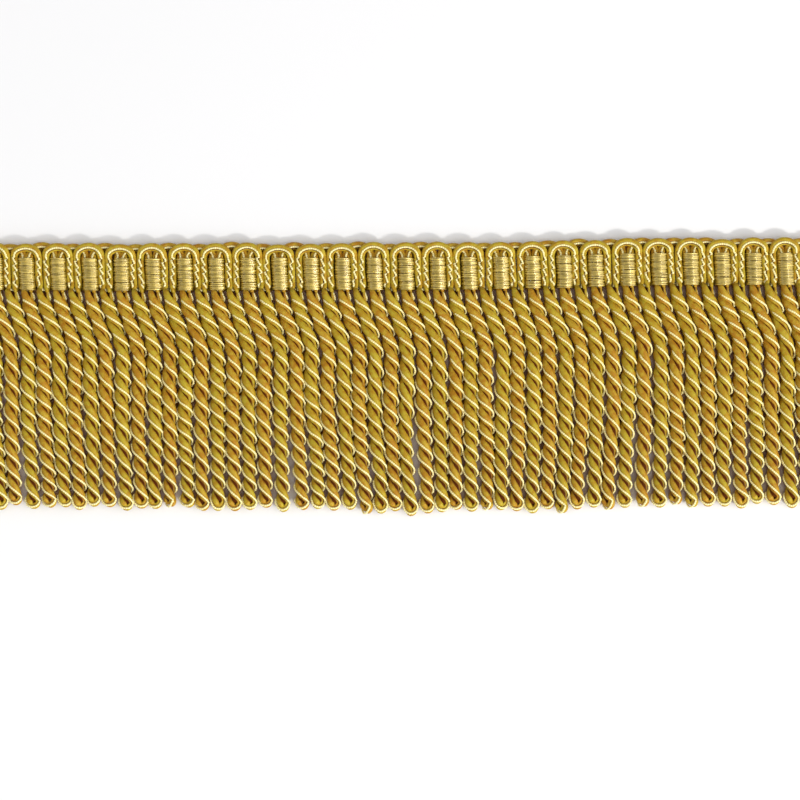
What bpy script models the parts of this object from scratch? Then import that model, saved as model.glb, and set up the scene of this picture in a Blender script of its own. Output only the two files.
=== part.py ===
"""A cut length of bullion fringe, laid flat: a woven heading with a row of yarn loops along its top edge, and a
skirt of twisted bullion cords hanging from its lower edge.

X runs along the trim, +Y points from the cord ends to the loops, +Z points up from the surface it lies on.
The origin is at the middle of the underside of the whole trim. Lengths are in metres.
"""

import math

import bmesh
import bpy

MM = 0.001

# The repeat of the weave, and how many of them the cut length holds
PITCH = 8.2 * MM
REPEATS = 28
LENGTH = PITCH * REPEATS

# The woven heading, measured up from its lower edge
BAND_HEIGHT = 8.8 * MM
LOOP_HEIGHT = 12.9 * MM
LEG_OFFSET = 2.95 * MM
BAR_HALF_WIDTH = 1.9 * MM
LEG_TOP = 2.5 * MM
BAR_TOP = 3.1 * MM
LOOP_TOP = 3.2 * MM
GROOVE_TOP = 1.6 * MM
EDGE_TOP = 1.4 * MM

# The backing strip that the cords are fused into
PART_GAP = 0.3 * MM
STRIP_WIDTH = 1.2 * MM

# The bullion cords
CORD_SPACING = PITCH / 2
CORD_COUNT = 2 * REPEATS - 1
CORD_ROOT_SHIFT = 0.4 * MM
CORD_RADIUS = 1.8 * MM
CORD_CLEARANCE = 0.35 * MM
ROOT_HALF_WIDTH = 1.3 * MM
CORD_STEP = 3.2 * MM
STEP_TURN = math.radians(60)
CORD_SIDES = 4
TIP_LENGTH = 0.9 * MM
TIP_SHRINK = 0.45

# How the cords hang: they slant to the right out of the heading, then run straight down
LEAN = 4.2 * MM
LEAN_LENGTH = 17.0 * MM
DROP = 56.8 * MM
DROP_SWING = 1.3 * MM
DROP_WAVE = 240.0 * MM
LONGEST_AT = 34.5 * MM
END_JITTER = 0.5 * MM

# The slow wave in which the whole trim lies
WAVE_HEIGHT = 0.8 * MM
WAVE_LENGTH = 284.0 * MM
WAVE_CREST_AT = 75.0 * MM

# Places where the cords stand apart: x along the trim, distance below the heading, half the opening
PARTINGS = (
    (-100.0 * MM, 34.0 * MM, 0.45 * MM),
    (-72.0 * MM, 46.0 * MM, 0.30 * MM),
    (-29.0 * MM, 50.0 * MM, 0.50 * MM),
    (6.0 * MM, 40.0 * MM, 0.40 * MM),
    (65.0 * MM, 45.0 * MM, 0.45 * MM),
)
PARTING_REACH = 12.0 * MM
PARTING_LENGTH = 18.0 * MM
PARTING_EDGE = 1.0 * MM

OLIVE = (0.30, 0.24, 0.055)
COPPER = (0.36, 0.20, 0.050)


def smooth_step(t):
    t = min(max(t, 0.0), 1.0)
    return t * t * (3 - 2 * t)


def wave(x):
    """How far the trim lies above or below a straight line, at x."""
    return WAVE_HEIGHT * math.cos(math.tau * (x - WAVE_CREST_AT) / WAVE_LENGTH)


def heading_left():
    """The heading's left end, which puts the middle of the whole trim, cords included, at x = 0."""
    last_cord = PITCH * REPEATS - CORD_SPACING + CORD_ROOT_SHIFT + LEAN + CORD_RADIUS
    return -last_cord / 2


def new_object(name, mesh_data, colour, roughness):
    mesh = bpy.data.meshes.new(name)
    mesh_data.to_mesh(mesh)
    mesh_data.free()
    material = bpy.data.materials.new(name)
    material.use_nodes = True
    shader = material.node_tree.nodes["Principled BSDF"]
    shader.inputs["Base Color"].default_value = (*colour, 1)
    shader.inputs["Roughness"].default_value = roughness
    mesh.materials.append(material)
    obj = bpy.data.objects.new(name, mesh)
    bpy.context.scene.collection.objects.link(obj)
    return obj


def heading_columns():
    """One repeat, from the groove between two legs: across it, heights of the band, and the loop's outline.

    Each column is (offset from the middle of the bar, height of the band, of the hole, and of the loop,
    y of the hole's edge, of the loop's crest and of the outer edge).
    """
    centre = BAND_HEIGHT + 0.2 * MM
    columns = []
    shapes = (
        (-PITCH / 2, GROOVE_TOP, GROOVE_TOP, GROOVE_TOP + 0.4 * MM, LOOP_HEIGHT - 0.4 * MM),
        (-LEG_OFFSET, LEG_TOP, LEG_TOP, LOOP_TOP - 0.1 * MM, LOOP_HEIGHT - 1.0 * MM),
        (-BAR_HALF_WIDTH, GROOVE_TOP, GROOVE_TOP, LOOP_TOP, LOOP_HEIGHT - 0.5 * MM),
        (-0.63 * BAR_HALF_WIDTH, BAR_TOP - 0.2 * MM, GROOVE_TOP, LOOP_TOP, LOOP_HEIGHT - 0.15 * MM),
        (0.0, BAR_TOP, GROOVE_TOP, LOOP_TOP, LOOP_HEIGHT),
    )
    mirrored = [(-shape[0], *shape[1:]) for shape in reversed(shapes[1:4])]
    for offset, band, hole, loop, outer in list(shapes) + mirrored:
        reach = math.sqrt(max(LEG_OFFSET**2 - offset**2, (0.35 * LEG_OFFSET) ** 2))
        crest = centre + reach
        if abs(offset) > LEG_OFFSET:
            crest = LOOP_HEIGHT - 1.6 * MM
        hole_edge = centre + 0.35 * reach
        columns.append((offset, band, hole, loop, hole_edge, crest, outer))
    return columns


def build_heading():
    """The band of yarn legs and satin bars, with its loops, as one ribbed solid."""
    columns = []
    shapes = heading_columns()
    for repeat in range(REPEATS):
        middle = heading_left() + (repeat + 0.5) * PITCH
        for shape in shapes:
            columns.append((middle + shape[0], shape))
    columns.append((heading_left() + LENGTH, shapes[0]))

    mesh = bmesh.new()
    rows = []
    for x, (_, band, hole, loop, hole_edge, crest, outer) in columns:
        base = ROOT_LINE + wave(x)
        row = [
            mesh.verts.new((x, base, 0)),
            mesh.verts.new((x, base, band)),
            mesh.verts.new((x, base + BAND_HEIGHT, band)),
            mesh.verts.new((x, base + hole_edge, hole)),
            mesh.verts.new((x, base + crest, loop)),
            mesh.verts.new((x, base + outer, EDGE_TOP)),
            mesh.verts.new((x, base + outer, 0)),
        ]
        rows.append(row)
    for here, there in zip(rows, rows[1:]):
        for k in range(len(here)):
            after = (k + 1) % len(here)
            mesh.faces.new((here[k], here[after], there[after], there[k]))
    mesh.faces.new(list(reversed(rows[0])))
    mesh.faces.new(rows[-1])
    bmesh.ops.recalc_face_normals(mesh, faces=mesh.faces)
    bmesh.ops.triangulate(mesh, faces=mesh.faces)
    return new_object("woven_heading", mesh, OLIVE, 0.45)


def cord_root(index):
    return heading_left() + CORD_SPACING * (index + 1) + CORD_ROOT_SHIFT


def parted(x, below):
    """How far the cord at x is pushed aside, this far below the heading, where the cords stand apart."""
    push = 0.0
    for middle, depth, opening in PARTINGS:
        away = x - middle
        side = math.tanh(away / PARTING_EDGE)
        near = math.exp(-((away / PARTING_REACH) ** 2))
        level = math.exp(-(((below - depth) / PARTING_LENGTH) ** 2))
        push += opening * side * near * level
    return push


def cord_drop(index):
    """A cord's length below the heading: it varies slowly along the trim, and a little from cord to cord."""
    x = cord_root(index)
    slow = DROP_SWING * math.cos(math.tau * (x - LONGEST_AT) / DROP_WAVE)
    return DROP + slow + END_JITTER * math.sin(index * 2.4)


# The lower edge of the heading, before the wave, with the middle of the whole trim at y = 0
HIGHEST = LOOP_HEIGHT + max(wave(heading_left() + PITCH * (repeat + 0.5)) for repeat in range(REPEATS))
LOWEST = min(wave(cord_root(index)) - cord_drop(index) for index in range(CORD_COUNT))
ROOT_LINE = -(HIGHEST + LOWEST) / 2


def cord_x(index, below):
    lean = LEAN * smooth_step(below / LEAN_LENGTH)
    return cord_root(index) + lean + parted(cord_root(index) + LEAN, below)


def cord_radius(index, below):
    """The cord's radius, held in where its neighbours come close."""
    here = cord_x(index, below)
    room = min(abs(here - cord_x(other, below)) for other in (index - 1, index + 1))
    return min(CORD_RADIUS, (room - CORD_CLEARANCE) / 2)


def section(mesh, x, y, radius, turn, middle_z):
    """One square section of a cord, with no corner below the surface."""
    corners = []
    for k in range(CORD_SIDES):
        angle = turn + math.tau * k / CORD_SIDES
        z = max(middle_z + radius * math.sin(angle), 0.0)
        corners.append(mesh.verts.new((x + radius * math.cos(angle), y, z)))
    return corners


def grow_cord(mesh, index, root_corners):
    """Carries the strip's root face down to the cord's end, turning it a step at a time."""
    y_root = ROOT_LINE + wave(cord_root(index)) - PART_GAP - STRIP_WIDTH
    length = cord_drop(index) - PART_GAP - STRIP_WIDTH
    steps = round((length - TIP_LENGTH) / CORD_STEP)
    turn = math.tau / 8
    rings = [root_corners]
    for step in range(1, steps + 1):
        turn -= STEP_TURN
        below = PART_GAP + STRIP_WIDTH + (length - TIP_LENGTH) * step / steps
        radius = cord_radius(index, below)
        y = y_root - (length - TIP_LENGTH) * step / steps
        middle_z = radius * math.sin(math.radians(75))
        rings.append(section(mesh, cord_x(index, below), y, radius, turn, middle_z))
    tip_x = cord_x(index, cord_drop(index))
    tip_radius = TIP_SHRINK * CORD_RADIUS
    rings.append(section(mesh, tip_x, y_root - length, tip_radius, turn, 0.8 * CORD_RADIUS))
    for above, lower in zip(rings, rings[1:]):
        for k in range(CORD_SIDES):
            after = (k + 1) % CORD_SIDES
            mesh.faces.new((above[k], above[after], lower[after], lower[k]))
    mesh.faces.new(rings[-1])


def build_skirt():
    """The backing strip under the heading, with every cord grown from a face of its lower side."""
    mesh = bmesh.new()
    edges = [heading_left()]
    for index in range(CORD_COUNT):
        edges += [cord_root(index) - ROOT_HALF_WIDTH, cord_root(index) + ROOT_HALF_WIDTH]
    edges.append(heading_left() + LENGTH)

    columns = []
    for x in edges:
        back = ROOT_LINE + wave(x) - PART_GAP
        front = back - STRIP_WIDTH
        height = 2 * ROOT_HALF_WIDTH
        corners = ((back, 0), (back, height), (front, height), (front, 0))
        columns.append([mesh.verts.new((x, y, z)) for y, z in corners])
    for number, (here, there) in enumerate(zip(columns, columns[1:])):
        mesh.faces.new((here[0], here[1], there[1], there[0]))
        mesh.faces.new((here[1], here[2], there[2], there[1]))
        mesh.faces.new((here[3], here[0], there[0], there[3]))
        if number % 2 == 0:
            mesh.faces.new((here[2], here[3], there[3], there[2]))
        else:
            grow_cord(mesh, number // 2, [there[2], here[2], here[3], there[3]])
    mesh.faces.new(list(reversed(columns[0])))
    mesh.faces.new(columns[-1])
    bmesh.ops.recalc_face_normals(mesh, faces=mesh.faces)
    bmesh.ops.triangulate(mesh, faces=mesh.faces)
    return new_object("bullion_skirt", mesh, COPPER, 0.5)


for old in list(bpy.data.objects):
    bpy.data.objects.remove(old)
build_heading()
build_skirt()
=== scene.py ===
import math

import bpy
import numpy as np
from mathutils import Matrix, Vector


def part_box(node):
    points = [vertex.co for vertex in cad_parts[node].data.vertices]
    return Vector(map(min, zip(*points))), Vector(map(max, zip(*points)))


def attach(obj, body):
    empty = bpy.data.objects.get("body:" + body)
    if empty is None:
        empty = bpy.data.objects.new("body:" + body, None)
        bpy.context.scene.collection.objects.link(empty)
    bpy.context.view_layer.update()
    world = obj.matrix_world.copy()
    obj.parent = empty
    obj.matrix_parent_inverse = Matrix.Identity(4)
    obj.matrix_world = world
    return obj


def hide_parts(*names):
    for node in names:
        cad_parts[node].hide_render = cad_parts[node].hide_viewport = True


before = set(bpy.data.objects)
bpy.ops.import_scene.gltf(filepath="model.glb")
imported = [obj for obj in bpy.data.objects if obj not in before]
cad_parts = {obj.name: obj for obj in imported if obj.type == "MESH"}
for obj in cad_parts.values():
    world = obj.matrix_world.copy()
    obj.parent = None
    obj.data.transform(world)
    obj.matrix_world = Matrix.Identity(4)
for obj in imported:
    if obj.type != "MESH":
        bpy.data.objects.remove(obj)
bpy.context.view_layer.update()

# The table the fringe is photographed on: a plain, pale, matt sheet, far larger than the fringe.
# It is no part of the object.
mm = 0.001
floor_colour = (0.885, 0.89, 0.91, 1)
floor_painted_shade_between_cords = (0.28, 0.10, 0.015, 1)
floor_half = 1.2
# painted shade: how near the cords the floor's colour is darkened to a warm brown, as by shade and light
# bounced off the yarn, and from how shut in to how open it fades
shade_reach = 5 * mm
shade_samples = 8
shut_in = 0.16
open_floor = 0.40

floor_mesh = bpy.data.meshes.new("floor")
floor_corners = [(-floor_half, -floor_half, 0), (floor_half, -floor_half, 0)]
floor_corners += [(floor_half, floor_half, 0), (-floor_half, floor_half, 0)]
floor_mesh.from_pydata(floor_corners, [], [(0, 1, 2, 3)])
floor = bpy.data.objects.new("floor", floor_mesh)
bpy.context.scene.collection.objects.link(floor)
floor_material = bpy.data.materials.new("pale floor")
floor_material.use_nodes = True
floor_shader = floor_material.node_tree.nodes["Principled BSDF"]
# painted shade: the floor's colour turns warm brown where the cords shut it in
near = floor_material.node_tree.nodes.new("ShaderNodeAmbientOcclusion")
near.samples = shade_samples
near.inputs["Distance"].default_value = shade_reach
painted_warm_shade = floor_material.node_tree.nodes.new("ShaderNodeValToRGB")
painted_warm_shade.color_ramp.elements[0].position = shut_in
painted_warm_shade.color_ramp.elements[0].color = floor_painted_shade_between_cords
painted_warm_shade.color_ramp.elements[1].position = open_floor
painted_warm_shade.color_ramp.elements[1].color = floor_colour
floor_material.node_tree.links.new(near.outputs["AO"], painted_warm_shade.inputs["Fac"])
floor_material.node_tree.links.new(painted_warm_shade.outputs["Color"], floor_shader.inputs["Base Color"])
floor_shader.inputs["Roughness"].default_value = 0.85
floor_shader.inputs["Specular IOR Level"].default_value = 0.15
floor_mesh.materials.append(floor_material)

# The camera looks straight down from over the middle of the photographed stretch, so the fringe runs
# out of both sides of the picture. The picture is 208 mm wide, at 0.26 mm a pixel.
picture_width = 208 * mm
picture_middle = (1.58 * mm, -6.6 * mm)
camera_lens = 100.0
camera_sensor = 36.0

camera_data = bpy.data.cameras.new("camera")
camera_data.lens = camera_lens
camera_data.sensor_width = camera_sensor
camera_data.clip_start = 0.01
camera = bpy.data.objects.new("camera", camera_data)
camera.location = (*picture_middle, picture_width * camera_lens / camera_sensor)
bpy.context.scene.collection.objects.link(camera)
bpy.context.scene.camera = camera

# Soft studio light: a key lamp low on the right of the cords' ends, which throws the loops' shadow up and
# to the left, and a pale sky with a bright window on the right and a dimmer one on the left for fill.
key_power = 4.2
key_size = 0.09
key_at = (0.55, -0.52, 0.53)
key_colour = (1.0, 0.975, 0.93)
sky_colour = (1.0, 0.995, 0.985, 1)
sky_strength = 0.38
# each window: the way to it, its strength, how tightly it is drawn together
windows = (
    ((0.70, -0.35, 0.62), 2.05, 4),
    ((-0.90, 0.15, 0.35), 0.80, 6),
)

key_data = bpy.data.lights.new("key lamp", "AREA")
key_data.shape = "DISK"
key_data.size = key_size
key_data.energy = key_power
key_data.color = key_colour
key = bpy.data.objects.new("key lamp", key_data)
key.location = key_at
key.rotation_euler = (-Vector(key_at)).to_track_quat("-Z", "Y").to_euler()
bpy.context.scene.collection.objects.link(key)
world = bpy.data.worlds.new("studio")
world.use_nodes = True
sky_nodes = world.node_tree.nodes
sky_link = world.node_tree.links.new
direction = sky_nodes.new("ShaderNodeTexCoord")
plain_sky = sky_nodes.new("ShaderNodeValue")
plain_sky.outputs[0].default_value = sky_strength
total = plain_sky.outputs[0]
for way, strength, tightness in windows:
    toward_window = sky_nodes.new("ShaderNodeVectorMath")
    toward_window.operation = "DOT_PRODUCT"
    toward_window.inputs[1].default_value = Vector(way).normalized()
    sky_link(direction.outputs["Generated"], toward_window.inputs[0])
    facing = sky_nodes.new("ShaderNodeMath")
    facing.operation = "MAXIMUM"
    facing.inputs[1].default_value = 0.0
    sky_link(toward_window.outputs["Value"], facing.inputs[0])
    falloff = sky_nodes.new("ShaderNodeMath")
    falloff.operation = "POWER"
    falloff.inputs[1].default_value = tightness
    sky_link(facing.outputs[0], falloff.inputs[0])
    added = sky_nodes.new("ShaderNodeMath")
    added.operation = "MULTIPLY_ADD"
    added.inputs[1].default_value = strength
    sky_link(falloff.outputs[0], added.inputs[0])
    sky_link(total, added.inputs[2])
    total = added.outputs[0]
sky_nodes["Background"].inputs["Color"].default_value = sky_colour
sky_link(total, sky_nodes["Background"].inputs["Strength"])
bpy.context.scene.world = world
bpy.context.scene.view_settings.view_transform = "Standard"

# The weft: two yarns, olive and copper, each of two gimps with bright threads in the grooves between them.
# A yarn runs up one leg in the heading, round a loop at the top edge, down the next leg, then out below the
# heading, where it is folded and twisted hard on itself as a bullion cord, and back up the next leg.
pitch = 8.2 * mm
cord_spacing = pitch / 2
heading_low, heading_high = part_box("woven_heading")
repeats = round((heading_high[0] - heading_low[0]) / pitch)
cords = 2 * repeats - 1
# the solid heading's lower edge rises and falls this far about its own middle line
wave_height = 0.8 * mm
# the trim doesn't lie quite straight: x along it, how far the heading lies to the back
rises = np.array([
    (-116, -0.50), (-67, -0.75), (-20, -0.60), (4, -0.55), (25, -0.40), (44, 0.0), (60, 0.50),
    (76, 0.72), (95, 0.72), (116, 0.55),
]) * mm
root_line = heading_low[1] + wave_height
# legs slant this far to the right down the heading, and cords then lean over as they leave it
root_shift = 0.4 * mm
band_height = 8.8 * mm
cord_height = 1.85 * mm
lean = 4.2 * mm
lean_length = 17 * mm
# how far cords hang: a slow swing along the trim, longest in one place, and each one's own difference
drop = 56.8 * mm
drop_swing = 0.6 * mm
drop_wave = 240 * mm
longest_at = 34.5 * mm
end_jitter = 0.55 * mm
end_beat = 0.6
end_beat_turn = 2.4
# a cord's slow and quick sway, and how they and the drift of its lower end set in
slow_sway = 0.30 * mm
slow_sway_length = 9 * mm
quick_sway = 0.20 * mm
quick_sway_length = 4.5 * mm
sway_from = 4 * mm
sway_ease = 20 * mm
drift_from = 30 * mm
drift_ease = 26 * mm
# the lower end of the fringe drifts sideways: x along the trim, how far the cords' ends lie to the right
end_drift = np.array([
    (-115, 0.8), (-92, 1.6), (-63, 0.0), (-40, 0.5), (-16, 1.6), (17, 0.1), (50, -1.1), (84, 0.2),
    (102, 1.2), (116, 1.2),
]) * mm
# Where the cords stand apart: x along the trim, distance below the heading, half the opening
partings = (
    (-96 * mm, 28 * mm, 0.30 * mm),
    (-72 * mm, 46 * mm, 0.30 * mm),
    (-29 * mm, 50 * mm, 0.50 * mm),
    (6 * mm, 40 * mm, 0.40 * mm),
    (65 * mm, 45 * mm, 0.45 * mm),
)
parting_reach = 12 * mm
parting_length = 18 * mm
parting_edge = 1 * mm
rng = np.random.default_rng(7)


def smooth_step(t):
    t = np.clip(t, 0.0, 1.0)
    return t * t * (3 - 2 * t)


def wave(x):
    return np.interp(x, *rises.T)


def cord_root(index):
    return heading_low[0] + cord_spacing * (index + 1) + root_shift


def parted(x, below):
    push = 0.0
    for middle, depth, opening in partings:
        away = x - middle
        near = np.exp(-((away / parting_reach) ** 2))
        level = np.exp(-(((below - depth) / parting_length) ** 2))
        push = push + opening * np.tanh(away / parting_edge) * near * level
    return push


cord_wander = rng.uniform(-1, 1, (cords, 3))


def cord_drop(index):
    slow = drop_swing * math.cos(math.tau * (cord_root(index) - longest_at) / drop_wave)
    beat = end_beat * math.sin(index * end_beat_turn)
    return drop + slow + end_jitter * (beat + cord_wander[index, 0])


def cord_axis(index, below):
    """The x of a cord's middle line, this far below the heading."""
    root = cord_root(index)
    first, second, third = cord_wander[index]
    sway = slow_sway * first * np.sin(below / slow_sway_length + 3 * second)
    sway = sway + quick_sway * third * np.sin(below / quick_sway_length + 5 * first)
    swaying = smooth_step((below - sway_from) / sway_ease) * sway
    leaning = lean * smooth_step(below / lean_length)
    drifting = np.interp(root, *end_drift.T) * smooth_step((below - drift_from) / drift_ease)
    return root + leaning + drifting + parted(root + lean, below) + swaying


# How the parts of a yarn lie about its middle: towards the bright thread, and across it, for each place.
# In a cord the groove that holds the bright thread faces outwards, and one gimp lies deeper than the other.
leg_gap = 1.00 * mm
copper_leg_gap = 0.85 * mm
leg_height = 1.4 * mm
cord_leg_out = 0.97 * mm
loop_tilt = math.radians(64)
tip_reach = 2.05 * mm
turn_steps = 15
turn_stretch = (1.1, 1.6)
twist_step = 0.62 * mm
leg_step = 0.28 * mm
# columns: first gimp towards, across and its radius, the same for the second gimp, thread towards, across
leg_lay = np.array([0.0, -0.47, 0.52, 0.0, 0.47, 0.52, 0.66, 0.0]) * mm
cord_lay_down = np.array([-0.30, -0.78, 0.90, -0.22, 0.60, 0.56, 0.93, -0.04]) * mm
cord_lay_up = np.array([-0.22, -0.60, 0.56, -0.30, 0.78, 0.90, 0.93, 0.04]) * mm
# where a cord's slit opens, on its upper side, the thin gimp draws away from the other leg
slit_opens = np.array([0.26, 0.50, 0.11]) * mm
slit_middle = math.radians(27)
slit_width = math.radians(47)
# a cord is a little thinner at its end than at its root, but for the bulge where it turns
fullest = 1.04
taper = 0.86
taper_from = 22 * mm
taper_length = 34 * mm
bulge = (0.05, 0.30)
bulge_length = 3 * mm
# over what length the yarn turns from flat legs into a round cord
gather_length = 3 * mm
settle_from = -2 * mm
settle_length = 3.5 * mm
raise_length = 6 * mm
# a cord's slight rise and fall over the table
ripple_height = (0.1, 0.25)
ripple_length = 6 * mm
ripple_from = 4 * mm
ripple_ease = 8 * mm
# the twist: half turns in a cord, how far short of them it ends, its slow start and the rush after it
half_turn_choices = [11, 12, 12, 11, 13]
short_turn_choices = [0.0, 0.2, 0.4, 1.0, 0.0, -0.3, 0.1]
twist_start = 2.4 * mm
twist_rush = 0.32
rush_at = 4.2 * mm
rush_length = 2.4 * mm
slow_twist_drift = 0.12
quick_twist_drift = 0.10
twist_gain = 0.22
# the heading: the lay round a loop, how a leg rolls over at the lower edge, and how unevenly legs lie
crown_lay = np.array([0.0, -0.60, 0.70, -0.30, 0.30, 0.50, 0.58, 0.0]) * mm
bend_steps = 27
# the shares of a loop's rise at which its sides are at their height, and its lay is the crown's
sides_up = 0.5
crown_laid = 0.8
roll_height = 2.2 * mm
roll_wobble = 0.22
roll_wobble_length = 1.3 * mm
leg_wander = 0.08 * mm
leg_wander_length = 1.7 * mm
# the bright thread's zigzag on a leg: most of each step is the long stroke, and the short one dips
zigzag_step = 2.16 * mm
zigzag_width = 0.44 * mm
zigzag_dip = 0.75 * mm
dip_from = 0.4
long_stroke = 0.78
stroke_wander = 0.10
stroke_wander_length = 0.9 * mm
# how unlike each other the loops are
loop_taller = 0.35 * mm
loop_shift = 0.12 * mm
loop_wider = 0.10 * mm
# each yarn's loops: half their width, their rise, and the height of their sides and crown over the table
olive_loop = (3.08 * mm, 2.3 * mm, 2.3 * mm, 2.1 * mm)
copper_loop = (3.25 * mm, 2.5 * mm, 0.95 * mm, 1.15 * mm)
# the cord's heart, and the share of its radius with which it begins
heart_radius = 1.05 * mm
heart_start = 0.30
heart_from = 0.5 * mm
heart_ease = 3.5 * mm
# how far from its middle a cord, or a leg in the heading, has painted shade on its gimps
cord_reach = 1.0 * mm
eye_reach = 0.75 * mm
leg_reach = 0.38 * mm


def mixed(lay_a, lay_b, share):
    share = np.asarray(share)[:, None]
    return lay_a * (1 - share) + lay_b * share


def cord_angle(below, length, total):
    """How far the cord has turned: slowly as it leaves the heading, then fast, then evenly but for drift."""
    start = smooth_step(below / twist_start)
    rush = twist_rush * np.exp(-(((below - rush_at) / rush_length) ** 2))
    wave_along = math.tau * below / length
    drift = slow_twist_drift * rng.uniform(-1, 1) * np.sin(wave_along + rng.uniform(0, 6))
    drift = drift + quick_twist_drift * rng.uniform(-1, 1) * np.sin(2 * wave_along + rng.uniform(0, 6))
    rate = start * (1 + rush + drift + twist_gain * (below / length - 0.5))
    turned = np.concatenate([[0], np.cumsum((rate[1:] + rate[:-1]) / 2)])
    return math.pi - total * turned / turned[-1]


def slit_opening(angle):
    """One where the slit by a leg at this angle lies on top of the cord, falling to nought at its sides."""
    away = np.mod(angle - slit_middle + math.pi, math.tau) - math.pi
    return np.exp(-((away / slit_width) ** 2))


def cord_samples(index):
    """One cord: the leg that comes from the left, the turn at the end, and the leg that goes back up.

    Gives a row for each place: the leg's middle, the way towards its thread, the way across, and its lay.
    To the lay's eight columns it adds the angle round the cord, the cord's middle and the reach of the
    painted shade about it.
    """
    gap = copper_leg_gap if index % 2 == 0 else leg_gap
    root_y = root_line + float(wave(cord_root(index)))
    length = cord_drop(index) - tip_reach
    count = round(length / twist_step)
    below = np.linspace(0, length, count)
    half_turns = rng.choice(half_turn_choices)
    angle = cord_angle(below, length, math.pi * half_turns - rng.choice(short_turn_choices))
    slim = fullest - (fullest - taper) * smooth_step((below - taper_from) / taper_length)
    swollen = 1 + rng.uniform(*bulge) * smooth_step((below - length + bulge_length) / bulge_length)
    gathered = smooth_step(below / gather_length)
    out = slim * swollen * (cord_leg_out + (gap - cord_leg_out) * (1 - gathered))
    settle = smooth_step((below - settle_from) / settle_length)
    raised = smooth_step((below - settle_from) / raise_length)
    height = leg_height + (cord_height - leg_height) * raised
    axis = cord_axis(index, below)
    y = root_y - below
    ripple = rng.uniform(*ripple_height) * mm * np.sin(below / ripple_length + rng.uniform(0, 6))
    height = height + ripple * smooth_step((below - ripple_from) / ripple_ease)

    down = np.column_stack([axis + out * np.cos(angle), y, height + out * np.sin(angle)])
    down_lay = slim[:, None] * mixed(leg_lay, cord_lay_down, settle)
    opened = slit_opening(angle)
    down_lay[:, 3] += opened * slit_opens[0]
    down_lay[:, 4] -= opened * slit_opens[1]
    down_lay[:, 5] -= opened * slit_opens[2]
    up = np.column_stack([axis - out * np.cos(angle), y, height - out * np.sin(angle)])
    up_lay = slim[:, None] * mixed(leg_lay, cord_lay_up, settle)
    opened = slit_opening(angle + math.pi)
    up_lay[:, 0] += opened * slit_opens[0]
    up_lay[:, 1] += opened * slit_opens[1]
    up_lay[:, 2] -= opened * slit_opens[2]

    sweep = np.linspace(0, math.pi, turn_steps + 2)[1:-1]
    last = angle[-1]
    tilt = loop_tilt * math.cos(last) * np.sin(sweep)
    stretch = rng.uniform(*turn_stretch)
    flat = out[-1] * np.cos(sweep)
    turn = np.column_stack([
        axis[-1] + flat * math.cos(last),
        y[-1] - out[-1] * stretch * np.sin(sweep),
        height[-1] + flat * math.sin(last),
    ])
    turn_lay = mixed(down_lay[-1], up_lay[-1], smooth_step(sweep / math.pi))
    points = np.vstack([down, turn, up[::-1]])
    lays = np.vstack([down_lay, turn_lay, up_lay[::-1]])
    world_angle = np.concatenate([angle, np.full(turn_steps, math.pi / 2), angle[::-1] - math.pi])
    hub = np.column_stack([axis, y, height])
    middles = np.vstack([hub, np.tile(hub[-1], (turn_steps, 1)), hub[::-1]])
    outward_turn = np.column_stack([
        np.cos(sweep) * math.cos(last),
        -np.sin(sweep),
        np.cos(sweep) * math.sin(last),
    ])
    upward_turn = np.tile([-math.sin(last), 0.0, math.cos(last)], (turn_steps, 1))
    towards_down = np.column_stack([np.cos(angle), 0 * angle, np.sin(angle)])
    across_down = np.column_stack([-np.sin(angle), 0 * angle, np.cos(angle)])
    towards_turn = np.cos(tilt)[:, None] * outward_turn + np.sin(tilt)[:, None] * upward_turn
    across_turn = -np.sin(tilt)[:, None] * outward_turn + np.cos(tilt)[:, None] * upward_turn
    # On the way up the outward side is mirrored, so the across direction keeps its hand
    towards = np.vstack([towards_down, towards_turn, -towards_down[::-1]])
    across = np.vstack([across_down, across_turn, across_down[::-1]])
    grown = smooth_step((below - heart_from) / heart_ease)
    swell = slim * heart_radius * (heart_start + (1 - heart_start) * grown)
    hearts.append((np.column_stack([axis, y, np.maximum(height, swell)])[1:], swell[1:]))
    leg = np.full(count, cord_reach)
    reach = np.concatenate([leg, np.full(turn_steps, eye_reach), leg])
    lays = np.column_stack([lays, world_angle, middles, reach])
    return points, towards, across, lays


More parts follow.
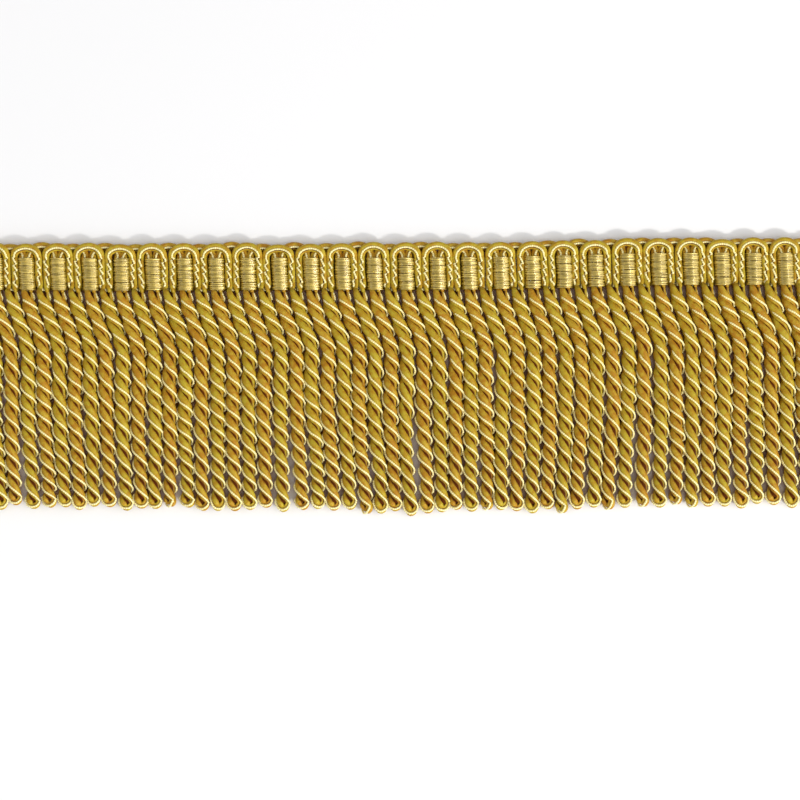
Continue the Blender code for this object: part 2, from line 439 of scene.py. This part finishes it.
def loop_samples(middle, half_width, loop_rise, side_height, crown_height):
    """One leg up from the heading's lower edge, round a loop and down the next leg."""
    count = round(band_height / leg_step)
    height_above = np.linspace(0, band_height, count, endpoint=False)
    base = root_line + float(wave(middle))
    slant = root_shift * (1 - height_above / band_height)
    wander = leg_wander * np.sin(height_above / leg_wander_length + rng.uniform(0, 6))
    bend = np.linspace(0, math.pi, bend_steps)
    rise = np.sin(bend)
    arch_x = -half_width * np.cos(bend)
    arch_y = band_height + loop_rise * rise
    over = side_height + (crown_height - side_height) * smooth_step((rise - sides_up) / (1 - sides_up))
    arch_z = leg_height + (over - leg_height) * smooth_step(rise / sides_up)
    leg_y = base + height_above
    leg_z = np.full(count, leg_height)
    up = np.column_stack([middle - half_width + slant + wander, leg_y, leg_z])
    arch = np.column_stack([middle + arch_x, base + arch_y, arch_z])
    down = np.column_stack([middle + half_width + slant - wander, leg_y, leg_z])
    points = np.vstack([up, arch, down[::-1]])

    # The gimps lie side by side in the heading, with their groove up; only at the lower edge do they roll
    # over, so that each leg meets its cord with the same thread outwards.
    roll = 1 - smooth_step(height_above / roll_height)
    wobble = roll_wobble * np.sin(height_above / roll_wobble_length + rng.uniform(0, 6)) * (1 - roll)
    angle_up = math.pi / 2 * (1 + roll) + wobble
    angle_down = (math.pi / 2 * (1 + roll) - wobble)[::-1]
    angle = np.concatenate([angle_up, np.full(len(bend), math.pi / 2), angle_down])
    outward_up = np.tile([-1.0, 0.0, 0.0], (len(up), 1))
    outward_arch = np.column_stack([-np.cos(bend), np.sin(bend), 0 * bend])
    outward_down = np.tile([1.0, 0.0, 0.0], (len(down), 1))
    outward = np.vstack([outward_up, outward_arch, outward_down])
    upward = np.tile([0.0, 0.0, 1.0], (len(points), 1))
    towards = np.cos(angle)[:, None] * outward + np.sin(angle)[:, None] * upward
    across = -np.sin(angle)[:, None] * outward + np.cos(angle)[:, None] * upward
    crown = np.concatenate([0 * height_above, smooth_step(rise / crown_laid), 0 * height_above])
    lays = mixed(leg_lay, crown_lay, crown)
    # The bright thread's zigzag: a long stroke up and to the left, then a short one back, half sunk
    for leg, hand in ((slice(0, count), 1), (slice(len(points) - count, len(points)), -1)):
        level = height_above if hand == 1 else height_above[::-1]
        uneven = stroke_wander * np.sin(level / stroke_wander_length)
        beat = np.mod(level / zigzag_step + rng.uniform(0, 1) + uneven, 1.0)
        back = np.clip((beat - long_stroke) / (1 - long_stroke), 0, 1)
        sideways = np.where(beat < long_stroke, 1 - 2 * beat / long_stroke, -1 + 2 * back)
        fade = 1 - roll if hand == 1 else (1 - roll)[::-1]
        lays[leg, 7] += hand * zigzag_width * sideways * fade
        rolled_under = smooth_step((1 + dip_from) * (1 - fade) - dip_from)
        lays[leg, 6] -= zigzag_dip * (np.sin(math.pi * back) * fade + rolled_under)
    extra = [np.full(len(points), math.pi / 2), points, np.full(len(points), leg_reach)]
    return points, towards, across, np.column_stack([lays, *extra])


def weft_yarn(loop_middles, cord_indices, starts_with_cord, loop_shape):
    """The whole run of one weft yarn: its loops and cords in turn. Each stretch says which kind it is."""
    half_width, rise, side_height, crown_height = loop_shape
    stretches = []
    loops = [("loop", middle) for middle in loop_middles]
    hanging = [("cord", index) for index in cord_indices]
    order = []
    first, second = (hanging, loops) if starts_with_cord else (loops, hanging)
    for place in range(max(len(first), len(second))):
        order += first[place:place + 1] + second[place:place + 1]
    for kind, which in order:
        if kind == "cord":
            stretches.append((kind, *cord_samples(which)))
        else:
            taller = rise + loop_taller * rng.uniform(-1, 1)
            place = which + loop_shift * rng.uniform(-1, 1)
            wider = half_width + loop_wider * rng.uniform(-1, 1)
            stretches.append((kind, *loop_samples(place, wider, taller, side_height, crown_height)))
    return stretches


hearts = []
bar_middles = [heading_low[0] + pitch * (k + 0.5) for k in range(repeats)]
between_bars = [heading_low[0] + pitch * k for k in range(1, repeats)]
olive_run = weft_yarn(bar_middles, range(1, cords, 2), False, olive_loop)
copper_run = weft_yarn(between_bars, range(0, cords, 2), True, copper_loop)


# Gimp: fine rayon wound closely round a soft cotton core, two of them to each weft yarn. Both lie all along
# the yarn's run, and where two legs are pressed together in a cord, their colour is darkened to deep
# red-brown close to the cord's middle, as painted shade.
gimp_sides = 8
# each gimp's tones: two of its own colours, mottled at random, and a third, darker one that is painted shade
# in the grooves of its winding
olive_tones = ((0.54, 0.415, 0.028), (0.48, 0.27, 0.010), (0.24, 0.12, 0.001))
copper_tones = ((0.57, 0.385, 0.028), (0.47, 0.22, 0.008), (0.24, 0.09, 0.001))
# the winding: its step, its bump's relief, and how far its grooves are darkened with painted shade
winding_step = 0.24 * mm
winding_relief = 0.05 * mm
winding_groove_shade = 0.35
mottle_scale = 700
mottle_ramp = (0.41, 0.58)
crevice_painted_shade = (0.10, 0.024, 0.001)
# in parts of a core's reach: where the painted crevice shade is full, and where it has gone
crevice_shade_ramp = (0.95, 1.40)


def gimp_path(run, which):
    """One gimp of the yarn: its middle line, its radius, and the core it is twisted round, all along it."""
    points = []
    radii = []
    cores = []
    for _, middle, towards, across, lays in run:
        toward, side, radius = lays[:, 3 * which:3 * which + 3].T
        path = middle + toward[:, None] * towards + side[:, None] * across
        path[:, 2] = np.maximum(path[:, 2], radius)
        points.append(path)
        radii.append(radius)
        cores.append(lays[:, 9:13])
    return np.vstack(points), np.concatenate(radii), np.vstack(cores)


def tube_tree():
    """A tree that lays a round tube along each line of its mesh, as thick as the line's own radius says."""
    tree = bpy.data.node_groups.new("lay a yarn", "GeometryNodeTree")
    face = tree.interface
    face.new_socket("Geometry", in_out="INPUT", socket_type="NodeSocketGeometry")
    face.new_socket("Sides", in_out="INPUT", socket_type="NodeSocketInt")
    face.new_socket("Finish", in_out="INPUT", socket_type="NodeSocketMaterial")
    face.new_socket("Geometry", in_out="OUTPUT", socket_type="NodeSocketGeometry")
    nodes = tree.nodes
    link = tree.links.new
    into = nodes.new("NodeGroupInput")
    out = nodes.new("NodeGroupOutput")
    to_curve = nodes.new("GeometryNodeMeshToCurve")
    thickness = nodes.new("GeometryNodeInputNamedAttribute")
    thickness.data_type = "FLOAT"
    thickness.inputs["Name"].default_value = "thickness"
    ring = nodes.new("GeometryNodeCurvePrimitiveCircle")
    ring.mode = "RADIUS"
    ring.inputs["Radius"].default_value = 1.0
    skin = nodes.new("GeometryNodeCurveToMesh")
    skin.inputs["Fill Caps"].default_value = True
    realize = nodes.new("GeometryNodeRealizeInstances")
    paint = nodes.new("GeometryNodeSetMaterial")
    link(into.outputs["Geometry"], to_curve.inputs["Mesh"])
    link(into.outputs["Sides"], ring.inputs["Resolution"])
    link(to_curve.outputs["Curve"], skin.inputs["Curve"])
    link(ring.outputs["Curve"], skin.inputs["Profile Curve"])
    link(thickness.outputs["Attribute"], skin.inputs["Scale"])
    link(skin.outputs["Mesh"], realize.inputs["Geometry"])
    link(realize.outputs["Geometry"], paint.inputs["Geometry"])
    link(into.outputs["Finish"], paint.inputs["Material"])
    link(paint.outputs["Geometry"], out.inputs["Geometry"])
    return tree


lay_a_yarn = tube_tree()


def lay_yarns(name, paths, sides, finish):
    """A piece of one or more yarns, each a tube along a path: its points, its radii and perhaps its core."""
    points = np.vstack([path[0] for path in paths])
    thickness = np.concatenate([path[1] for path in paths])
    runs = []
    edges = []
    start = 0
    for line, *_ in paths:
        steps = np.linalg.norm(np.diff(line, axis=0), axis=1)
        runs.append(np.concatenate([[0], np.cumsum(steps)]))
        number = np.arange(start, start + len(line) - 1)
        edges.append(np.column_stack([number, number + 1]))
        start += len(line)
    mesh = bpy.data.meshes.new(name + " lines")
    mesh.from_pydata(points.tolist(), np.vstack(edges).tolist(), [])
    mesh.attributes.new("thickness", "FLOAT", "POINT").data.foreach_set("value", thickness)
    mesh.attributes.new("run", "FLOAT", "POINT").data.foreach_set("value", np.concatenate(runs))
    if len(paths[0]) == 3:
        cores = np.vstack([path[2] for path in paths])
        mesh.attributes.new("core", "FLOAT_VECTOR", "POINT").data.foreach_set("vector", cores[:, :3].ravel())
        mesh.attributes.new("reach", "FLOAT", "POINT").data.foreach_set("value", cores[:, 3])
    lines = bpy.data.objects.new(name + " lines", mesh)
    bpy.context.scene.collection.objects.link(lines)
    modifier = lines.modifiers.new("lay a yarn", "NODES")
    modifier.node_group = lay_a_yarn
    for item in lay_a_yarn.interface.items_tree:
        if item.in_out == "INPUT" and item.name == "Sides":
            modifier[item.identifier] = sides
        if item.in_out == "INPUT" and item.name == "Finish":
            modifier[item.identifier] = finish
    evaluated = lines.evaluated_get(bpy.context.evaluated_depsgraph_get())
    tube = bpy.data.meshes.new_from_object(evaluated)
    tube.name = name
    tube.shade_smooth()
    bpy.data.objects.remove(lines)
    piece = bpy.data.objects.new(name, tube)
    bpy.context.scene.collection.objects.link(piece)
    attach(piece, "root")
    return piece


def gimp_finish(name, first, second, dark):
    """A gimp's surface is ringed by its winding, with painted shade in its grooves, mottled in tone, and
    painted shade close to its core.
    """
    material = bpy.data.materials.new(name)
    material.use_nodes = True
    nodes = material.node_tree.nodes
    link = material.node_tree.links.new
    shader = nodes["Principled BSDF"]
    shader.inputs["Roughness"].default_value = 0.45
    shader.inputs["Specular IOR Level"].default_value = 0.24
    shader.inputs["Sheen Weight"].default_value = 0.02
    shader.inputs["Sheen Roughness"].default_value = 0.4
    run = nodes.new("ShaderNodeAttribute")
    run.attribute_name = "run"
    wrap = nodes.new("ShaderNodeMath")
    wrap.operation = "MULTIPLY"
    wrap.inputs[1].default_value = math.tau / winding_step
    link(run.outputs["Fac"], wrap.inputs[0])
    ridge = nodes.new("ShaderNodeMath")
    ridge.operation = "SINE"
    link(wrap.outputs[0], ridge.inputs[0])
    place = nodes.new("ShaderNodeTexCoord")
    mottle = nodes.new("ShaderNodeTexNoise")
    mottle.inputs["Scale"].default_value = mottle_scale
    mottle.inputs["Detail"].default_value = 4
    mottle.inputs["Roughness"].default_value = 0.65
    link(place.outputs["Object"], mottle.inputs["Vector"])
    tone = nodes.new("ShaderNodeValToRGB")
    tone.color_ramp.elements[0].position = mottle_ramp[0]
    tone.color_ramp.elements[0].color = (*second, 1)
    tone.color_ramp.elements[1].position = mottle_ramp[1]
    tone.color_ramp.elements[1].color = (*first, 1)
    link(mottle.outputs["Fac"], tone.inputs["Fac"])
    # painted shade: the winding's grooves are darkened towards the third tone
    groove = nodes.new("ShaderNodeMix")
    groove.data_type = "RGBA"
    groove.inputs["B"].default_value = (*dark, 1)
    depth = nodes.new("ShaderNodeMapRange")
    depth.inputs["From Min"].default_value = -1
    depth.inputs["From Max"].default_value = 1
    depth.inputs["To Min"].default_value = winding_groove_shade
    depth.inputs["To Max"].default_value = 0.0
    link(ridge.outputs[0], depth.inputs["Value"])
    link(depth.outputs["Result"], groove.inputs["Factor"])
    link(tone.outputs["Color"], groove.inputs["A"])
    # painted shade: the gimp's colour goes dark red-brown close to the cord's middle, in its slits and
    # crevices
    core = nodes.new("ShaderNodeAttribute")
    core.attribute_name = "core"
    reach = nodes.new("ShaderNodeAttribute")
    reach.attribute_name = "reach"
    away = nodes.new("ShaderNodeVectorMath")
    away.operation = "DISTANCE"
    link(place.outputs["Object"], away.inputs[0])
    link(core.outputs["Vector"], away.inputs[1])
    share = nodes.new("ShaderNodeMath")
    share.operation = "DIVIDE"
    link(away.outputs["Value"], share.inputs[0])
    link(reach.outputs["Fac"], share.inputs[1])
    deep = nodes.new("ShaderNodeMapRange")
    deep.interpolation_type = "SMOOTHSTEP"
    deep.inputs["From Min"].default_value = crevice_shade_ramp[0]
    deep.inputs["From Max"].default_value = crevice_shade_ramp[1]
    deep.inputs["To Min"].default_value = 1.0
    deep.inputs["To Max"].default_value = 0.0
    link(share.outputs[0], deep.inputs["Value"])
    crevice = nodes.new("ShaderNodeMix")
    crevice.data_type = "RGBA"
    crevice.inputs["B"].default_value = (*crevice_painted_shade, 1)
    link(deep.outputs["Result"], crevice.inputs["Factor"])
    link(groove.outputs["Result"], crevice.inputs["A"])
    link(crevice.outputs["Result"], shader.inputs["Base Color"])
    bump = nodes.new("ShaderNodeBump")
    bump.inputs["Strength"].default_value = 0.35
    bump.inputs["Distance"].default_value = winding_relief
    link(ridge.outputs[0], bump.inputs["Height"])
    link(bump.outputs["Normal"], shader.inputs["Normal"])
    return material


olive_gimp = gimp_finish("olive gimp", *olive_tones)
copper_gimp = gimp_finish("copper gimp", *copper_tones)
olive_first = lay_yarns("olive_gimp_1", [gimp_path(olive_run, 0)], gimp_sides, olive_gimp)
olive_second = lay_yarns("olive_gimp_2", [gimp_path(olive_run, 1)], gimp_sides, olive_gimp)
copper_first = lay_yarns("copper_gimp_1", [gimp_path(copper_run, 0)], gimp_sides, copper_gimp)
copper_second = lay_yarns("copper_gimp_2", [gimp_path(copper_run, 1)], gimp_sides, copper_gimp)
for piece in (olive_first, olive_second, copper_first, copper_second):
    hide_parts("woven_heading", "bullion_skirt")

# The heart of each cord: a tube down its middle for the cotton cores pressed together there, coloured dark
# red-brown as painted shade in the slits between the gimps and in the notches down a cord's sides.
heart_sides = 8
heart_painted_shade = (0.085, 0.018, 0.001, 1)
heart_finish = bpy.data.materials.new("cord heart")
heart_finish.use_nodes = True
heart_shader = heart_finish.node_tree.nodes["Principled BSDF"]
heart_shader.inputs["Base Color"].default_value = heart_painted_shade
heart_shader.inputs["Roughness"].default_value = 0.85
heart_shader.inputs["Specular IOR Level"].default_value = 0.1
lay_yarns("cord_hearts", hearts, heart_sides, heart_finish)

# Bright threads: a fine, glossy, pale gold ply lying proud in the groove between the gimps. On a cord only
# the outer one shows, so the other stops where the cord begins.
thread_sides = 6
thread_radius = 0.26 * mm
thread_fullness = 1.03
thread_uneven = 0.16
thread_beats = (1.9, 0.31)
thread_shake = 0.05 * mm
thread_ply = 0.58 * mm
thread_relief = 0.08 * mm
# along the thread the ply's tone beats between its own gold, darkened as painted shade between the beads, and
# pale cream, lightened as painted highlight on their crests
thread_gold_and_ply_shade = (0.88, 0.68, 0.22, 1)
thread_pale_and_ply_highlight = (1.0, 0.94, 0.50, 1)
# how far below the heading a cord's thread shows as hooks on the right only, and how soon that changes
hooks_end = 14 * mm
hooks_fade = 14 * mm
# on a cord's right and left sides: the angle, the width in radians, how far the thread bows out along x, y
# and z, and how much fuller it is
right_side = (-0.62, 0.62, (0.26 * mm, 0.0, 0.45 * mm), 0.12)
left_side = (3.75, 0.55, (-0.36 * mm, 0.30 * mm, 0.62 * mm), 0.20)
# where the thread sinks on the left side, how soon and how deep, and how far from its root it stays sunk
sink_from = 1.95
sink_ease = 0.75
sink_depth = 0.85 * mm
root_hidden = 4 * mm


def slack_round_sides(angle, low):
    """How far a cord's thread stands off, and how much fuller it is, where it goes round the cord's sides.

    Near the heading, where low is nought, the thread sinks between the gimps on the cord's left side.
    """
    world = np.mod(angle + math.pi / 2, math.tau) - math.pi / 2
    bow = np.zeros((len(angle), 3))
    fuller = 0.0
    for (middle, width, outward, fullness), share in ((right_side, 1.0), (left_side, low)):
        near = np.exp(-(((world - middle) / width) ** 2)) * share
        bow = bow + near[:, None] * np.array(outward)
        fuller = fuller + fullness * near
    bow[:, :2] += rng.uniform(-1, 1, (len(angle), 2)) * thread_shake
    sunk = sink_depth * smooth_step((world - sink_from) / sink_ease) * (1 - low)
    return bow, fuller, sunk


def thread_paths(run):
    """The bright threads of a yarn: the one that shows, all along it, and the one behind each loop's legs."""
    shown = []
    shown_radii = []
    behind = []
    for kind, middle, towards, across, lays in run:
        toward = lays[:, 6]
        place = np.arange(len(middle))
        uneven = np.sin(place * thread_beats[0]) * np.sin(place * thread_beats[1])
        thick = thread_fullness + thread_uneven * uneven
        bow = 0.0
        if kind == "cord":
            hanging = root_line - middle[:, 1]
            low = smooth_step((hanging - hooks_end) / hooks_fade)
            bow, fuller, sunk = slack_round_sides(lays[:, 8], low)
            hidden = sink_depth * (1 - smooth_step(hanging / root_hidden))
            toward = toward - np.maximum(sunk, hidden)
            thick = thick + fuller
        laid = middle + toward[:, None] * towards + lays[:, 7:8] * across + bow
        laid[:, 2] = np.maximum(laid[:, 2], thread_radius * thick)
        shown.append(laid)
        shown_radii.append(thread_radius * thick)
        if kind == "loop":
            under = middle - leg_lay[6] * towards
            under[:, 2] = np.maximum(under[:, 2], thread_radius * thick)
            behind.append((under, thread_radius * thick))
    return [(np.vstack(shown), np.concatenate(shown_radii))] + behind


thread_finish = bpy.data.materials.new("bright thread")
thread_finish.use_nodes = True
thread_nodes = thread_finish.node_tree.nodes
thread_link = thread_finish.node_tree.links.new
thread_shader = thread_nodes["Principled BSDF"]
thread_shader.inputs["Roughness"].default_value = 0.3
thread_shader.inputs["Specular IOR Level"].default_value = 0.7
thread_run = thread_nodes.new("ShaderNodeAttribute")
thread_run.attribute_name = "run"
ply = thread_nodes.new("ShaderNodeMath")
ply.operation = "MULTIPLY"
ply.inputs[1].default_value = math.tau / thread_ply
thread_link(thread_run.outputs["Fac"], ply.inputs[0])
bead = thread_nodes.new("ShaderNodeMath")
bead.operation = "SINE"
thread_link(ply.outputs[0], bead.inputs[0])
thread_tone = thread_nodes.new("ShaderNodeValToRGB")
thread_tone.color_ramp.elements[0].position = 0.0
thread_tone.color_ramp.elements[0].color = thread_gold_and_ply_shade
thread_tone.color_ramp.elements[1].position = 0.55
thread_tone.color_ramp.elements[1].color = thread_pale_and_ply_highlight
lift_bead = thread_nodes.new("ShaderNodeMapRange")
lift_bead.inputs["From Min"].default_value = -1
lift_bead.inputs["From Max"].default_value = 1
thread_link(bead.outputs[0], lift_bead.inputs["Value"])
thread_link(lift_bead.outputs["Result"], thread_tone.inputs["Fac"])
thread_link(thread_tone.outputs["Color"], thread_shader.inputs["Base Color"])
thread_bump = thread_nodes.new("ShaderNodeBump")
thread_bump.inputs["Strength"].default_value = 0.4
thread_bump.inputs["Distance"].default_value = thread_relief
thread_link(bead.outputs[0], thread_bump.inputs["Height"])
thread_link(thread_bump.outputs["Normal"], thread_shader.inputs["Normal"])
lay_yarns("olive_thread", thread_paths(olive_run), thread_sides, thread_finish)
lay_yarns("copper_thread", thread_paths(copper_run), thread_sides, thread_finish)

# Satin warp: untwisted rayon filaments that run the length of the heading, in four bundles. They float
# over the copper legs as shiny bars, and pass behind the olive legs.
bundles = 4
filaments = 8
filament_radius = 0.135 * mm
bundle_height = 2.1 * mm
bundle_gap = 0.14 * mm
bar_lowest = 0.25 * mm
filament_sides = 5
# how far a filament strays on each bar: up off it, towards the loops, and along the trim
filament_lift = (-0.04, 0.06)
filament_drift = (-0.05, 0.05)
filament_shove = (-0.18, 0.18)
satin_dark = (0.36, 0.25, 0.01, 1)
satin_light = (0.86, 0.65, 0.11, 1)
satin_ramp = (0.36, 0.62)
# the satin's streaks are fine across the filaments, and long along them
streak_scale = (350, 5200, 350)
# across one repeat: distance from the middle of the bar, height over the table
float_shape = (
    (-4.1, 0.14), (-3.1, 0.16), (-2.25, 0.35), (-1.98, 0.90), (-1.85, 1.60), (-1.55, 2.30), (-1.05, 2.78),
    (-0.40, 2.98), (0.28, 3.02), (0.50, 2.96), (0.95, 2.78), (1.45, 2.58), (1.85, 2.40), (2.02, 1.30),
    (2.30, 0.35), (3.1, 0.16),
)
warp_paths = []
for bundle in range(bundles):
    for filament in range(filaments):
        step = (bundle_height - bundle_gap) / filaments
        above = bar_lowest + bundle * bundle_height + (filament + 0.5) * step
        rows = []
        for middle in bar_middles:
            lift = rng.uniform(*filament_lift) * mm
            drift = rng.uniform(*filament_drift) * mm
            shove = rng.uniform(*filament_shove) * mm
            slant = root_shift * (1 - above / band_height)
            y = root_line + float(wave(middle)) + above + drift
            for across, height in float_shape:
                on_top = height > 1
                x = middle + across * mm + slant + on_top * shove
                rows.append((x, y, height * mm + on_top * lift))
        path = np.array(rows)
        warp_paths.append((path, np.full(len(path), filament_radius)))

warp_finish = bpy.data.materials.new("satin warp")
warp_finish.use_nodes = True
warp_nodes = warp_finish.node_tree.nodes
warp_link = warp_finish.node_tree.links.new
warp_shader = warp_nodes["Principled BSDF"]
warp_shader.inputs["Metallic"].default_value = 0.6
warp_shader.inputs["Roughness"].default_value = 0.38
warp_shader.inputs["Coat Weight"].default_value = 1.0
warp_shader.inputs["Coat Roughness"].default_value = 0.22
warp_shader.inputs["Coat IOR"].default_value = 2.1
warp_place = warp_nodes.new("ShaderNodeTexCoord")
strand_stretch = warp_nodes.new("ShaderNodeMapping")
strand_stretch.inputs["Scale"].default_value = streak_scale
warp_link(warp_place.outputs["Object"], strand_stretch.inputs["Vector"])
strand_noise = warp_nodes.new("ShaderNodeTexNoise")
strand_noise.inputs["Scale"].default_value = 1.0
strand_noise.inputs["Detail"].default_value = 2.0
warp_link(strand_stretch.outputs["Vector"], strand_noise.inputs["Vector"])
strand_tone = warp_nodes.new("ShaderNodeValToRGB")
strand_tone.color_ramp.elements[0].position = satin_ramp[0]
strand_tone.color_ramp.elements[0].color = satin_dark
strand_tone.color_ramp.elements[1].position = satin_ramp[1]
strand_tone.color_ramp.elements[1].color = satin_light
warp_link(strand_noise.outputs["Fac"], strand_tone.inputs["Fac"])
warp_link(strand_tone.outputs["Color"], warp_shader.inputs["Base Color"])
lay_yarns("warp_bars", warp_paths, filament_sides, warp_finish)
